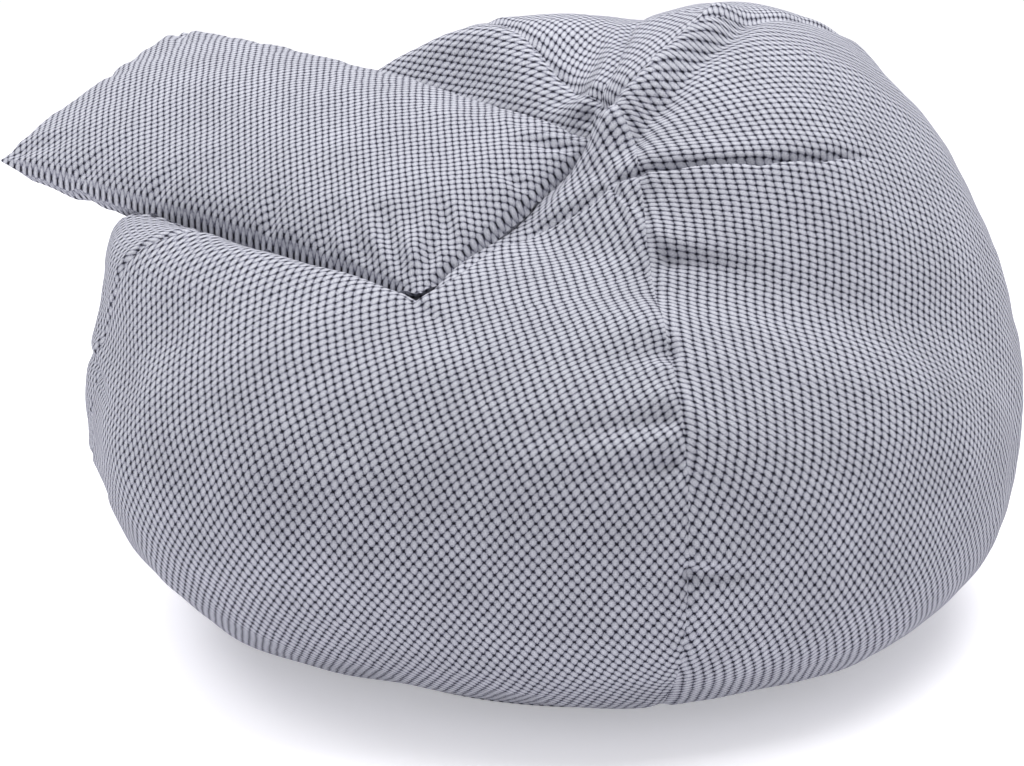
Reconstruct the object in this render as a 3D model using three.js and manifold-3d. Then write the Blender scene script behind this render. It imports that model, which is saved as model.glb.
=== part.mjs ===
// A bean bag chair: a four-gore fabric cover over a zipped inner liner filled with beads,
// with a loose lumbar pillow lying across the low side of the seat.
// Millimetres, +Z up. The origin is on the floor under the bag, and the seat faces -Y.

import * as THREE from "three";
import { mergeVertices } from "three/addons/utils/BufferGeometryUtils.js";
import Module from "manifold-3d";

// Cloth and clearances
const FABRIC = 2.4; // cover cloth with its pile
const LINER_CLOTH = 0.8;
const LAYER_GAP = 1.2; // between the cover, the liner and the beads
const SEAM_GAP = 0.5; // between the panels on each side of a seam
const BASE_SEAM_GAP = 2; // between the flat base and the gores' straight-sided hem

// The bag, as layers measured outwards from one point on its axis
const CORE = new THREE.Vector3(0, 0, 170);
const FLOOR_ROUNDING = 40; // how softly the side turns under at the floor
const POLE_LEAN = new THREE.Vector2(0.105, 0.035); // where the four gores meet, off the axis
const POLE_OPENING = 1.6; // degrees left open round the point where the gores meet
const BASE_POLAR = 119.4; // degrees from straight up to the base seam
const SIDE_ROWS = 22;
const ROW_CROWDING = 1.35; // over 1 sets the rows closer together near the pole
const PANEL_COLUMNS = 12;
const BASE_RADIUS = 300;
const LINER_RADIUS = 286;
const BEAD_RADIUS = 278;

// Heights in the stack under the beads, which leaves room for the zips
const LINER_FLOOR = 9.4;
const BEAD_FLOOR = 10.8;

// Seams between the gores, as bearings about +Z from +X
const SEAMS = [-38.6, 80, 157, 230];

// Zips: a coil, two tapes folded the same way, a slider without a pull tab and two stops
const COIL = { width: 2.2, height: 2 };
const TAPE = { thickness: 0.5, height: 4.5, apart: 0.6, above: 1.4 };
const SLIDER = { length: 9, width: 4.8, low: -1.9, high: 2.9, wall: 0.85, floor: 0.5 };
const STOP = { length: 3, width: 3.2, low: -1.3, high: 1.05 };
const END_GAP = 0.4;
const ZIP_SLOT = 6;
const BASE_ZIP = { length: 500, y: 110, z: 2.6 };
const LINER_ZIP = { length: 460, y: -60, z: 10.6 };
const PILLOW_ZIP = { length: 360, edge: 7.5 };

// The pillow: a flat rectangle when empty, filled to a crown
const PILLOW = {
  length: 600,
  width: 297,
  crown: 56,
  fullness: 0.52,
  centre: new THREE.Vector3(-288, -137, 471),
  tiltBack: 19.7, // about X, far long edge up
  tiltSide: -4.2, // about Y, left end up
};
const PILLOW_PINCH = 0.045; // how far the free sides pull in between their corners
const PILLOW_SEAT = 20; // clearance the bag keeps round the pillow
const PILLOW_ROOM_SLOPE = 0.35; // how fast that space widens upwards
const PILLOW_COLUMNS = 16;
const PILLOW_ROWS = 12;

const COLOURS = {
  fabric: 0xb9bac6,
  liner: 0xe9e7e2,
  beads: 0xf7f7f5,
  tape: 0x9c9ca8,
  coil: 0x8d8d99,
  slider: 0x8f9196,
};

const wasm = await Module();
wasm.setup();

const group = new THREE.Group();

function material(colour, roughness, metalness = 0) {
  return new THREE.MeshStandardMaterial({ color: colour, roughness, metalness });
}

const fabricMaterial = material(COLOURS.fabric, 0.95);
const linerMaterial = material(COLOURS.liner, 0.8);
const beadMaterial = material(COLOURS.beads, 0.7);
const tapeMaterial = material(COLOURS.tape, 0.9);
const coilMaterial = material(COLOURS.coil, 0.5);
const sliderMaterial = material(COLOURS.slider, 0.35, 0.9);
const caseMaterial = material(COLOURS.liner, 0.85);
const fibreMaterial = material(COLOURS.beads, 0.95);

function add(name, geometry, surface, placement) {
  if (placement) {
    geometry.applyMatrix4(placement);
  }
  const mesh = new THREE.Mesh(geometry, surface);
  mesh.name = name;
  group.add(mesh);
  return mesh;
}

// ---- The bag's outer form ----

// A rounded mass of beads: centre, radii, squareness (2 is an ellipsoid) and bearing in degrees.
function mass(x, y, z, radii, squareness, bearing) {
  const angle = THREE.MathUtils.degToRad(bearing);
  return { x, y, z, radii, squareness, cos: Math.cos(angle), sin: Math.sin(angle) };
}

const BASE_MASS = mass(6, 4, 192, [449, 439, 233], 2.6, 40);
const SIDE_MASS = mass(-184, -141, 219, [286, 400, 239], 2, 40);
const RIM_MASS = mass(-266, -156, 288, [197, 246, 133], 6, 26);
const FRONT_MASS = mass(53, -203, 225, [360, 195, 159], 2, 40);
const REAR_LEFT_MASS = mass(-160, 160, 340, [315, 205, 246], 2, 40);
const SEAT_HOLLOW = mass(-186, -206, 632, [649, 287, 225], 2, -12);
const SHOULDER_MASS = mass(82, 123, 235, [323, 314, 310], 2, 40);
const BACKREST_MASS = mass(31, 222, 321, [241, 308, 291], 2, 40);
const FOLD = {
  low: new THREE.Vector3(17, 21, 440),
  high: new THREE.Vector3(-10, 227, 560),
  radius: 44,
};

function massDistance(p, m) {
  const dx = p.x - m.x;
  const dy = p.y - m.y;
  const dz = p.z - m.z;
  const across = Math.hypot(
    (dx * m.cos + dy * m.sin) / m.radii[0],
    (dy * m.cos - dx * m.sin) / m.radii[1],
  );
  const share = (across ** m.squareness + Math.abs(dz / m.radii[2]) ** m.squareness) ** (1 / m.squareness);
  return Math.hypot(dx, dy, dz) * (1 - 1 / Math.max(share, 1e-6));
}

// Joins two distances with a soft crease of the given width.
function join(a, b, width) {
  const t = THREE.MathUtils.clamp(0.5 + (0.5 * (b - a)) / width, 0, 1);
  return b + (a - b) * t - width * t * (1 - t);
}

// Keeps the part of a that is outside the mass whose distance is b.
function hollowOut(a, b, width) {
  return -join(-a, b, width);
}

function foldDistance(p) {
  const nearest = new THREE.Line3(FOLD.low, FOLD.high).closestPointToPoint(p, true, new THREE.Vector3());
  return nearest.distanceTo(p) - FOLD.radius;
}

const pillowPlacement = new THREE.Matrix4().compose(
  PILLOW.centre,
  new THREE.Quaternion().setFromEuler(
    new THREE.Euler(
      THREE.MathUtils.degToRad(PILLOW.tiltBack),
      THREE.MathUtils.degToRad(-PILLOW.tiltSide),
      0,
    ),
  ),
  new THREE.Vector3(1, 1, 1),
);
const intoPillow = pillowPlacement.clone().invert();

// Half the pillow's thickness at a share of the way from its centre to its sides.
function pillowCrown(across, along) {
  const open = Math.max(0, 1 - across * across) * Math.max(0, 1 - along * along);
  return open ** PILLOW.fullness;
}

// The space the pillow lies in and leaves through: everything above its underside.
function pillowSpaceDistance(p) {
  const q = p.clone().applyMatrix4(intoPillow);
  const half = PILLOW.length / 2;
  const side = PILLOW.width / 2;
  const under = FABRIC + PILLOW.crown * pillowCrown(q.x / half, q.y / side);
  const above = q.z + under + PILLOW_SEAT;
  const room = PILLOW_SEAT + PILLOW_ROOM_SLOPE * Math.max(0, above);
  const outside = Math.max(Math.abs(q.x) - half, Math.abs(q.y) - side) - room;
  return -join(above, -outside, 20);
}

function bagDistance(p) {
  let seat = massDistance(p, BASE_MASS);
  seat = join(seat, massDistance(p, SIDE_MASS), 60);
  seat = join(seat, massDistance(p, RIM_MASS), 50);
  seat = join(seat, massDistance(p, FRONT_MASS), 60);
  seat = join(seat, massDistance(p, REAR_LEFT_MASS), 40);
  seat = hollowOut(seat, massDistance(p, SEAT_HOLLOW), 18);
  const back = join(massDistance(p, SHOULDER_MASS), massDistance(p, BACKREST_MASS), 90);
  const body = join(join(seat, back, 24), foldDistance(p), 14);
  return hollowOut(body, pillowSpaceDistance(p), 20);
}

// ---- Layers of the bag ----

function direction(bearing, polar) {
  const b = THREE.MathUtils.degToRad(bearing);
  const a = THREE.MathUtils.degToRad(polar);
  const lean = Math.max(0, Math.cos(a)) ** 2;
  return new THREE.Vector3(
    Math.sin(a) * Math.cos(b) + POLE_LEAN.x * lean,
    Math.sin(a) * Math.sin(b) + POLE_LEAN.y * lean,
    Math.cos(a),
  ).normalize();
}

// The point where a line from the core leaves the layer that lies inset under the surface.
function layerPoint(heading, inset, floor) {
  const at = (reach) => CORE.clone().addScaledVector(heading, reach);
  const outside = (p) => -join(-(bagDistance(p) + inset), p.z - floor, FLOOR_ROUNDING) > 0;
  const step = 12;
  let reach = 60;
  while (!outside(at(reach + step))) {
    reach += step;
  }
  let near = reach;
  let far = reach + step;
  for (let i = 0; i < 20; i += 1) {
    const middle = (near + far) / 2;
    if (outside(at(middle))) {
      far = middle;
    } else {
      near = middle;
    }
  }
  return at((near + far) / 2);
}

// Bearings of the columns between two seams, counted in SEAMS.
function panelBearings(first, panels) {
  const bearings = [];
  for (let k = 0; k < panels; k += 1) {
    const turns = 360 * Math.floor((first + k) / SEAMS.length);
    const nextTurns = 360 * Math.floor((first + k + 1) / SEAMS.length);
    const from = SEAMS[(first + k) % SEAMS.length] + turns;
    const to = SEAMS[(first + k + 1) % SEAMS.length] + nextTurns;
    for (let c = 0; c < PANEL_COLUMNS; c += 1) {
      bearings.push(from + ((to - from) * c) / PANEL_COLUMNS);
    }
    if (k === panels - 1) {
      bearings.push(to);
    }
  }
  return bearings;
}

function sidePolars() {
  const polars = [];
  for (let r = 0; r <= SIDE_ROWS; r += 1) {
    polars.push(POLE_OPENING + (BASE_POLAR - POLE_OPENING) * (r / SIDE_ROWS) ** ROW_CROWDING);
  }
  return polars;
}

// One face of a side panel: columns of points from the pole down to the base seam.
function sideFace(bearings, inset, floor, baseRadius, baseHeight) {
  const polars = sidePolars();
  return bearings.map((bearing, c) => {
    const b = THREE.MathUtils.degToRad(bearing);
    const alongSeam = new THREE.Vector3(-Math.sin(b), Math.cos(b), 0);
    let inward = 0;
    if (c === 0) {
      inward = SEAM_GAP / 2;
    }
    if (c === bearings.length - 1) {
      inward = -SEAM_GAP / 2;
    }
    return polars.map((polar, r) => {
      const point = r < polars.length - 1
        ? layerPoint(direction(bearing, polar), inset, floor)
        : new THREE.Vector3(baseRadius * Math.cos(b), baseRadius * Math.sin(b), baseHeight);
      return point.addScaledVector(alongSeam, inward);
    });
  });
}

// A closed solid between an outer and an inner grid of points. Outer columns run so that
// the cross product of the column and row directions points inwards.
function solidBetween(outer, inner) {
  const columns = outer.length;
  const rows = outer[0].length;
  const positions = [];
  [outer, inner].forEach((face) => face.forEach((column) => column.forEach((p) => positions.push(p.x, p.y, p.z))));
  const index = [];
  const at = (face, c, r) => face * columns * rows + c * rows + r;
  const quad = (a, b, c, d) => index.push(a, b, c, a, c, d);
  for (let c = 0; c < columns - 1; c += 1) {
    for (let r = 0; r < rows - 1; r += 1) {
      quad(at(0, c, r), at(0, c, r + 1), at(0, c + 1, r + 1), at(0, c + 1, r));
      quad(at(1, c, r), at(1, c + 1, r), at(1, c + 1, r + 1), at(1, c, r + 1));
    }
    quad(at(0, c, 0), at(0, c + 1, 0), at(1, c + 1, 0), at(1, c, 0));
    quad(at(0, c, rows - 1), at(1, c, rows - 1), at(1, c + 1, rows - 1), at(0, c + 1, rows - 1));
  }
  for (let r = 0; r < rows - 1; r += 1) {
    quad(at(0, 0, r), at(1, 0, r), at(1, 0, r + 1), at(0, 0, r + 1));
    quad(at(0, columns - 1, r), at(0, columns - 1, r + 1), at(1, columns - 1, r + 1), at(1, columns - 1, r));
  }
  const geometry = new THREE.BufferGeometry();
  geometry.setAttribute("position", new THREE.Float32BufferAttribute(positions, 3));
  geometry.setIndex(index);
  return geometry;
}

function sidePanel(first, panels, layer) {
  const bearings = panelBearings(first, panels);
  const outer = sideFace(bearings, layer.inset, layer.floor, layer.radius, layer.floor);
  const inner = sideFace(
    bearings,
    layer.inset + layer.cloth,
    layer.floor + layer.cloth,
    layer.radius,
    layer.floor + layer.cloth,
  );
  return solidBetween(outer, inner);
}

const COVER_LAYER = { inset: 0, cloth: FABRIC, floor: 0, radius: BASE_RADIUS };
const LINER_LAYER = {
  inset: FABRIC + LAYER_GAP,
  cloth: LINER_CLOTH,
  floor: LINER_FLOOR,
  radius: LINER_RADIUS,
};

["right", "back", "left", "front"].forEach((side, k) => {
  add("cover_panel_" + side, sidePanel(k, 1, COVER_LAYER), fabricMaterial);
});
add("liner_side_rear", sidePanel(1, 2, LINER_LAYER), linerMaterial);
add("liner_side_front", sidePanel(3, 2, LINER_LAYER), linerMaterial);

// ---- Flat base panels ----

function extruded(shape, depth, height) {
  const geometry = new THREE.ExtrudeGeometry(shape, { depth, bevelEnabled: false, curveSegments: 40 });
  return geometry.translate(0, 0, height);
}

// The part of the base on one side of the zip, with a notch that clears the zip.
function basePanel(side) {
  const radius = BASE_RADIUS - BASE_SEAM_GAP;
  const edge = BASE_ZIP.y + (side * SEAM_GAP) / 2;
  const notch = BASE_ZIP.y + (side * ZIP_SLOT) / 2;
  const notchEnd = BASE_ZIP.length / 2 + STOP.length + 2;
  const corner = Math.sqrt(radius * radius - edge * edge);
  const from = Math.atan2(edge, side * corner);
  const to = Math.atan2(edge, -side * corner);
  const shape = new THREE.Shape();
  shape.absarc(0, 0, radius, from, to + (to < from ? 2 * Math.PI : 0), false);
  shape.lineTo(-side * notchEnd, edge);
  shape.lineTo(-side * notchEnd, notch);
  shape.lineTo(side * notchEnd, notch);
  shape.lineTo(side * notchEnd, edge);
  shape.closePath();
  return extruded(shape, FABRIC, 0);
}

add("base_panel_rear", basePanel(1), fabricMaterial);
add("base_panel_front", basePanel(-1), fabricMaterial);

function rectangle(length, width, y) {
  const path = new THREE.Path();
  path.moveTo(-length / 2, y - width / 2);
  path.lineTo(length / 2, y - width / 2);
  path.lineTo(length / 2, y + width / 2);
  path.lineTo(-length / 2, y + width / 2);
  path.closePath();
  return path;
}

const linerDisc = new THREE.Shape();
linerDisc.absarc(0, 0, LINER_RADIUS - BASE_SEAM_GAP, 0, 2 * Math.PI, false);
linerDisc.holes.push(rectangle(LINER_ZIP.length + 2 * STOP.length + 4, ZIP_SLOT, LINER_ZIP.y));
add("liner_base", extruded(linerDisc, LINER_CLOTH, LINER_FLOOR), linerMaterial);

// ---- Beads ----

function manifoldOf(geometry) {
  const bare = new THREE.BufferGeometry();
  bare.setAttribute("position", geometry.getAttribute("position").clone());
  if (geometry.index) {
    bare.setIndex(geometry.index.clone());
  }
  const merged = mergeVertices(bare, 1e-3);
  return new wasm.Manifold(
    new wasm.Mesh({
      numProp: 3,
      vertProperties: merged.getAttribute("position").array,
      triVerts: new Uint32Array(merged.index.array),
    }),
  );
}

function geometryOf(solid) {
  const mesh = solid.getMesh();
  const geometry = new THREE.BufferGeometry();
  geometry.setAttribute("position", new THREE.Float32BufferAttribute(mesh.vertProperties, 3));
  geometry.setIndex([...mesh.triVerts]);
  return geometry;
}

function cut(geometry, tool) {
  return geometryOf(manifoldOf(geometry).subtract(manifoldOf(tool)));
}

function beadFill() {
  const inset = FABRIC + LINER_CLOTH + 2 * LAYER_GAP;
  const bearings = panelBearings(0, SEAMS.length).slice(0, -1);
  const rings = sidePolars().slice(0, -1).map((polar) =>
    bearings.map((bearing) => layerPoint(direction(bearing, polar), inset, BEAD_FLOOR)),
  );
  rings.push(
    bearings.map((bearing) => {
      const b = THREE.MathUtils.degToRad(bearing);
      return new THREE.Vector3(BEAD_RADIUS * Math.cos(b), BEAD_RADIUS * Math.sin(b), BEAD_FLOOR);
    }),
  );
  const points = [layerPoint(direction(0, 0), inset, BEAD_FLOOR), ...rings.flat()];
  points.push(new THREE.Vector3(0, 0, BEAD_FLOOR));
  const count = bearings.length;
  const at = (ring, c) => 1 + ring * count + (c % count);
  const last = points.length - 1;
  const index = [];
  for (let c = 0; c < count; c += 1) {
    index.push(0, at(0, c), at(0, c + 1));
    for (let ring = 0; ring < rings.length - 1; ring += 1) {
      index.push(at(ring, c), at(ring + 1, c), at(ring + 1, c + 1));
      index.push(at(ring, c), at(ring + 1, c + 1), at(ring, c + 1));
    }
    index.push(last, at(rings.length - 1, c + 1), at(rings.length - 1, c));
  }
  const geometry = new THREE.BufferGeometry();
  geometry.setAttribute("position", new THREE.Float32BufferAttribute(points.flatMap((p) => p.toArray()), 3));
  geometry.setIndex(index);
  return geometry;
}

const zipRoom = new THREE.BoxGeometry(LINER_ZIP.length + 20, ZIP_SLOT + 2, 20);
zipRoom.translate(0, LINER_ZIP.y, LINER_ZIP.z - 3);
add("bead_fill", cut(beadFill(), zipRoom), beadMaterial);

// ---- Zips ----
// In a zip's own frame X runs along it, Y goes through the two tapes and Z points inwards.

function block(length, width, low, high, x = 0, y = 0) {
  return new THREE.BoxGeometry(length, width, high - low).translate(x, y, (low + high) / 2);
}

function coilGeometry(length) {
  const shape = new THREE.Shape();
  shape.absellipse(0, 0, COIL.height / 2, COIL.width / 2, 0, 2 * Math.PI, false);
  const geometry = new THREE.ExtrudeGeometry(shape, { depth: length, bevelEnabled: false, curveSegments: 4 });
  return geometry.rotateY(Math.PI / 2).translate(-length / 2, 0, 0);
}

function sliderGeometry(x) {
  const body = block(SLIDER.length, SLIDER.width, SLIDER.low, SLIDER.high, x);
  const channel = block(
    SLIDER.length + 2,
    SLIDER.width - 2 * SLIDER.wall,
    SLIDER.low + SLIDER.floor,
    SLIDER.high + 1,
    x,
  );
  return cut(body, channel);
}

function zip(name, length, placement) {
  const tapeLength = length + 2 * STOP.length;
  const tapeMiddle = TAPE.apart / 2 + TAPE.thickness / 2;
  const tapeTop = TAPE.above + TAPE.height;
  ["a", "b"].forEach((letter, k) => {
    const y = k === 0 ? tapeMiddle : -tapeMiddle;
    const tape = block(tapeLength, TAPE.thickness, TAPE.above, tapeTop, 0, y);
    add(name + "_tape_" + letter, tape, tapeMaterial, placement);
  });
  add(name + "_coil", coilGeometry(length), coilMaterial, placement);
  const stopAt = length / 2 + END_GAP + STOP.length / 2;
  add(name + "_top_stop", block(STOP.length, STOP.width, STOP.low, STOP.high, stopAt), sliderMaterial, placement);
  add(name + "_end_stop", block(STOP.length, STOP.width, STOP.low, STOP.high, -stopAt), sliderMaterial, placement);
  const closedAt = length / 2 - SLIDER.length / 2;
  add(name + "_slider", sliderGeometry(closedAt), sliderMaterial, placement);
}

zip("base_zip", BASE_ZIP.length, new THREE.Matrix4().makeTranslation(0, BASE_ZIP.y, BASE_ZIP.z));
zip("liner_zip", LINER_ZIP.length, new THREE.Matrix4().makeTranslation(0, LINER_ZIP.y, LINER_ZIP.z));

// ---- Pillow ----
// In its own frame X is its long side, Y its width and Z its thickness. The zip is on the +Y side.

// Points of one face: nearSide and farSide are its half widths, half its length, height its crown.
function pillowFace(half, nearSide, farSide, height, lift, columns, rows) {
  const face = [];
  for (let c = 0; c <= columns; c += 1) {
    const along = Math.sin((Math.PI / 2) * ((2 * c) / columns - 1));
    const column = [];
    for (let r = 0; r <= rows; r += 1) {
      const across = Math.sin((Math.PI / 2) * ((2 * r) / rows - 1));
      const side = across < 0 ? nearSide * (1 - PILLOW_PINCH * (1 - along * along)) : farSide;
      const x = half * along * (1 - (PILLOW_PINCH / 2) * (1 - across * across));
      const y = side * across;
      const z = lift + height * pillowCrown(along, across);
      column.push(new THREE.Vector3(x, y, z));
    }
    face.push(column);
  }
  return face;
}

function turnedOver(geometry) {
  geometry.scale(1, 1, -1);
  const index = geometry.index.array;
  for (let i = 0; i < index.length; i += 3) {
    [index[i + 1], index[i + 2]] = [index[i + 2], index[i + 1]];
  }
  return geometry;
}

// One half of a bag: a crowned sheet of cloth with a flat rim on the seam plane.
function halfCase(half, nearSide, farSide, height, cloth, rim, columns, rows) {
  const lift = SEAM_GAP / 2;
  const outer = pillowFace(half, nearSide, farSide, height, lift, columns, rows);
  const inner = pillowFace(half - rim, nearSide - rim, farSide - rim, height - cloth, lift, columns, rows);
  return solidBetween(inner, outer);
}

const SHELL_RIM = 4;
const halfLength = PILLOW.length / 2;
const halfWidth = PILLOW.width / 2;
const cover = [halfLength, halfWidth, halfWidth, PILLOW.crown + FABRIC, FABRIC, SHELL_RIM];
add("pillow_cover_front", halfCase(...cover, PILLOW_COLUMNS, PILLOW_ROWS), fabricMaterial, pillowPlacement);
add("pillow_cover_back", turnedOver(halfCase(...cover, PILLOW_COLUMNS, PILLOW_ROWS)), fabricMaterial, pillowPlacement);

const caseHalf = halfLength - SHELL_RIM - 6;
const caseNear = halfWidth - SHELL_RIM - 5;
const caseFar = halfWidth - PILLOW_ZIP.edge - TAPE.above - TAPE.height - 3;
const caseHeight = PILLOW.crown - 6;
const ticking = [caseHalf, caseNear, caseFar, caseHeight, LINER_CLOTH, 3];
add("pillow_case_front", halfCase(...ticking, PILLOW_ROWS, 8), caseMaterial, pillowPlacement);
add("pillow_case_back", turnedOver(halfCase(...ticking, PILLOW_ROWS, 8)), caseMaterial, pillowPlacement);

const fibre = [caseHalf - 9, caseNear - 8, caseFar - 8, caseHeight - 5, 0];
const fibreTop = pillowFace(...fibre, PILLOW_ROWS, 8);
const fibreBottom = fibreTop.map((column) => column.map((p) => new THREE.Vector3(p.x, p.y, -p.z)));
const fibreSolid = mergeVertices(solidBetween(fibreBottom, fibreTop), 1e-3);
add("pillow_fibre_fill", geometryOf(manifoldOf(fibreSolid)), fibreMaterial, pillowPlacement);

// The pillow's zip lies inside its far long seam, with its tapes towards the middle.
const zipInPillow = new THREE.Matrix4()
  .makeBasis(new THREE.Vector3(1, 0, 0), new THREE.Vector3(0, 0, 1), new THREE.Vector3(0, -1, 0))
  .setPosition(0, halfWidth - PILLOW_ZIP.edge, 0);
zip("pillow_zip", PILLOW_ZIP.length, pillowPlacement.clone().multiply(zipInPillow));

export default group;
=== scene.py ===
import math
import bpy
import bmesh
import numpy as np
from mathutils import Matrix, Vector


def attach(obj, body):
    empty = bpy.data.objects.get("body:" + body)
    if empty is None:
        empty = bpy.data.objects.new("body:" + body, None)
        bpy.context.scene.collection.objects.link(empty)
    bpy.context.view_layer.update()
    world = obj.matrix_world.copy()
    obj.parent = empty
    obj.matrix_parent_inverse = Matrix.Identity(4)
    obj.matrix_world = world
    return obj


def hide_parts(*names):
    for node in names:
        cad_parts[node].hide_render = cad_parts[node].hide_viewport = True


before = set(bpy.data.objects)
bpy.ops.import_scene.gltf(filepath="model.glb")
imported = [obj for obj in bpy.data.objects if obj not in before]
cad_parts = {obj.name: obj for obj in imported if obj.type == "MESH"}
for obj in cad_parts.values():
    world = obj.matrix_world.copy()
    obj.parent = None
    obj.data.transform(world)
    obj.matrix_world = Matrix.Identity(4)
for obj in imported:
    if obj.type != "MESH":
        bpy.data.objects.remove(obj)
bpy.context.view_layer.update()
scene = bpy.context.scene

# ---------------------------------------------------------------------------------------------
# Cover side panels. Four tall gores of waffle-textured cloth, sewn edge to edge and filled from
# inside by the beads, so they slump into a high back fold, a hollowed seat and a soft front lip.
MM = 0.001
CORE = np.array([0.0, 0.0, 170.0])
FLOOR_ROUNDING = 40.0
# Rounded masses of beads: centre, radii, squareness (2 is an ellipsoid) and bearing in degrees.
BASE_MASS = ((6, 4, 192), (449, 439, 233), 2.6, 40)
SIDE_MASS = ((-184, -141, 219), (286, 400, 239), 2, 40)
RIM_MASS = ((-266, -156, 288), (197, 246, 133), 6, 26)
FRONT_MASS = ((53, -203, 225), (360, 195, 159), 2, 40)
REAR_LEFT_MASS = ((-160, 160, 340), (315, 205, 246), 2, 40)
SEAT_HOLLOW = ((-186, -206, 632), (649, 287, 225), 2, -12)
SHOULDER_MASS = ((82, 123, 235), (323, 314, 310), 2, 40)
BACKREST_MASS = ((31, 222, 321), (241, 308, 291), 2, 40)
FOLD_ROD = ((17, 21, 440), (-10, 227, 560), 44)
# How widely each mass blends into the ones before it.
SIDE_BLEND = 60
RIM_BLEND = 50
FRONT_BLEND = 60
REAR_LEFT_BLEND = 40
HOLLOW_BLEND = 18
BACKREST_BLEND = 90
SEAT_TO_BACK_BLEND = 24
FOLD_BLEND = 14
PILLOW_ROOM_BLEND = 20


def mass_distance(p, centre, radii, squareness, bearing):
    """Distance to one rounded mass of beads, as its centre sees it."""
    turn = math.radians(bearing)
    q = p - np.array(centre, float)
    x = q[..., 0] * math.cos(turn) + q[..., 1] * math.sin(turn)
    y = q[..., 1] * math.cos(turn) - q[..., 0] * math.sin(turn)
    across = np.hypot(x / radii[0], y / radii[1])
    share = (across**squareness + np.abs(q[..., 2] / radii[2]) ** squareness) ** (1 / squareness)
    return np.linalg.norm(q, axis=-1) * (1 - 1 / np.maximum(share, 1e-6))


def join(a, b, width):
    """Joins two distances with a soft crease of the given width."""
    t = np.clip(0.5 + 0.5 * (b - a) / width, 0, 1)
    return b + (a - b) * t - width * t * (1 - t)


def hollow_out(a, b, width):
    """Keeps the part of a that is outside the mass whose distance is b."""
    return -join(-a, b, width)


def rod_distance(p, low, high, radius):
    """Distance to a round rod between two points."""
    low = np.array(low, float)
    span = np.array(high, float) - low
    t = np.clip(((p - low) @ span) / (span @ span), 0, 1)
    return np.linalg.norm(p - low - t[..., None] * span, axis=-1) - radius


PILLOW_LENGTH = 600.0
PILLOW_WIDTH = 297.0
PILLOW_CROWN = 56.0
PILLOW_CENTRE = (-288, -137, 471)
PILLOW_TILT_BACK = math.radians(19.7)
PILLOW_TILT_SIDE = math.radians(4.2)
PILLOW_PLACE = (
    Matrix.Translation(PILLOW_CENTRE)
    @ Matrix.Rotation(PILLOW_TILT_BACK, 4, "X")
    @ Matrix.Rotation(PILLOW_TILT_SIDE, 4, "Y")
)
PILLOW_SEAT = 9.0
CLOTH_THICKNESS = 2.4
ROOM_FULLNESS = 0.52
ROOM_SLOPE = 0.35


def pillow_room_distance(p):
    """The room the pillow lies in: everything above its underside."""
    inverse = np.array(PILLOW_PLACE.inverted())
    q = p @ inverse[:3, :3].T + inverse[:3, 3]
    along = np.clip(np.abs(q[..., 0]) / (PILLOW_LENGTH / 2), 0, 1)
    across = np.clip(np.abs(q[..., 1]) / (PILLOW_WIDTH / 2), 0, 1)
    under = CLOTH_THICKNESS + PILLOW_CROWN * ((1 - along**2) * (1 - across**2)) ** ROOM_FULLNESS
    above = q[..., 2] + under + PILLOW_SEAT
    room = PILLOW_SEAT + ROOM_SLOPE * np.maximum(0, above)
    past_end = np.abs(q[..., 0]) - PILLOW_LENGTH / 2
    past_side = np.abs(q[..., 1]) - PILLOW_WIDTH / 2
    outside = np.maximum(past_end, past_side) - room
    return -join(above, -outside, PILLOW_ROOM_BLEND)


def bag_distance(p):
    """Distance to the bag's outer form: the seat, the back and the fold, with room for the pillow."""
    seat = mass_distance(p, *BASE_MASS)
    seat = join(seat, mass_distance(p, *SIDE_MASS), SIDE_BLEND)
    seat = join(seat, mass_distance(p, *RIM_MASS), RIM_BLEND)
    seat = join(seat, mass_distance(p, *FRONT_MASS), FRONT_BLEND)
    seat = join(seat, mass_distance(p, *REAR_LEFT_MASS), REAR_LEFT_BLEND)
    seat = hollow_out(seat, mass_distance(p, *SEAT_HOLLOW), HOLLOW_BLEND)
    back = join(mass_distance(p, *SHOULDER_MASS), mass_distance(p, *BACKREST_MASS), BACKREST_BLEND)
    body = join(seat, back, SEAT_TO_BACK_BLEND)
    body = join(body, rod_distance(p, *FOLD_ROD), FOLD_BLEND)
    return hollow_out(body, pillow_room_distance(p), PILLOW_ROOM_BLEND)


POLE_LEAN_X = 0.105
POLE_LEAN_Y = 0.035


def heading(bearing, polar):
    """Unit directions from the core; the gores' meeting point leans off the axis."""
    lean = np.maximum(0, np.cos(polar)) ** 2
    d = np.stack(
        [
            np.sin(polar) * np.cos(bearing) + POLE_LEAN_X * lean,
            np.sin(polar) * np.sin(bearing) + POLE_LEAN_Y * lean,
            np.cos(polar),
        ],
        -1,
    )
    return d / np.linalg.norm(d, axis=-1, keepdims=True)


INNER_REACH = 60.0
SEARCH_REACHES = np.arange(72.0, 760.0, 14.0)
HALVINGS = 13


def layer_reach(directions, inset, floor):
    """How far from the core each direction meets the layer lying inset under the surface."""

    def outside(reach):
        p = CORE + directions * reach[..., None]
        return -join(-(bag_distance(p) + inset), p[..., 2] - floor, FLOOR_ROUNDING) > 0

    low = np.full(directions.shape[:-1], INNER_REACH)
    high = low.copy()
    found = np.zeros(directions.shape[:-1], bool)
    for reach in SEARCH_REACHES:
        out = outside(np.full(directions.shape[:-1], reach)) & ~found
        high[out] = reach
        found |= out
        low[~found] = reach
    for _ in range(HALVINGS):
        middle = (low + high) / 2
        out = outside(middle)
        high = np.where(out, middle, high)
        low = np.where(out, low, middle)
    return (low + high) / 2


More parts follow.
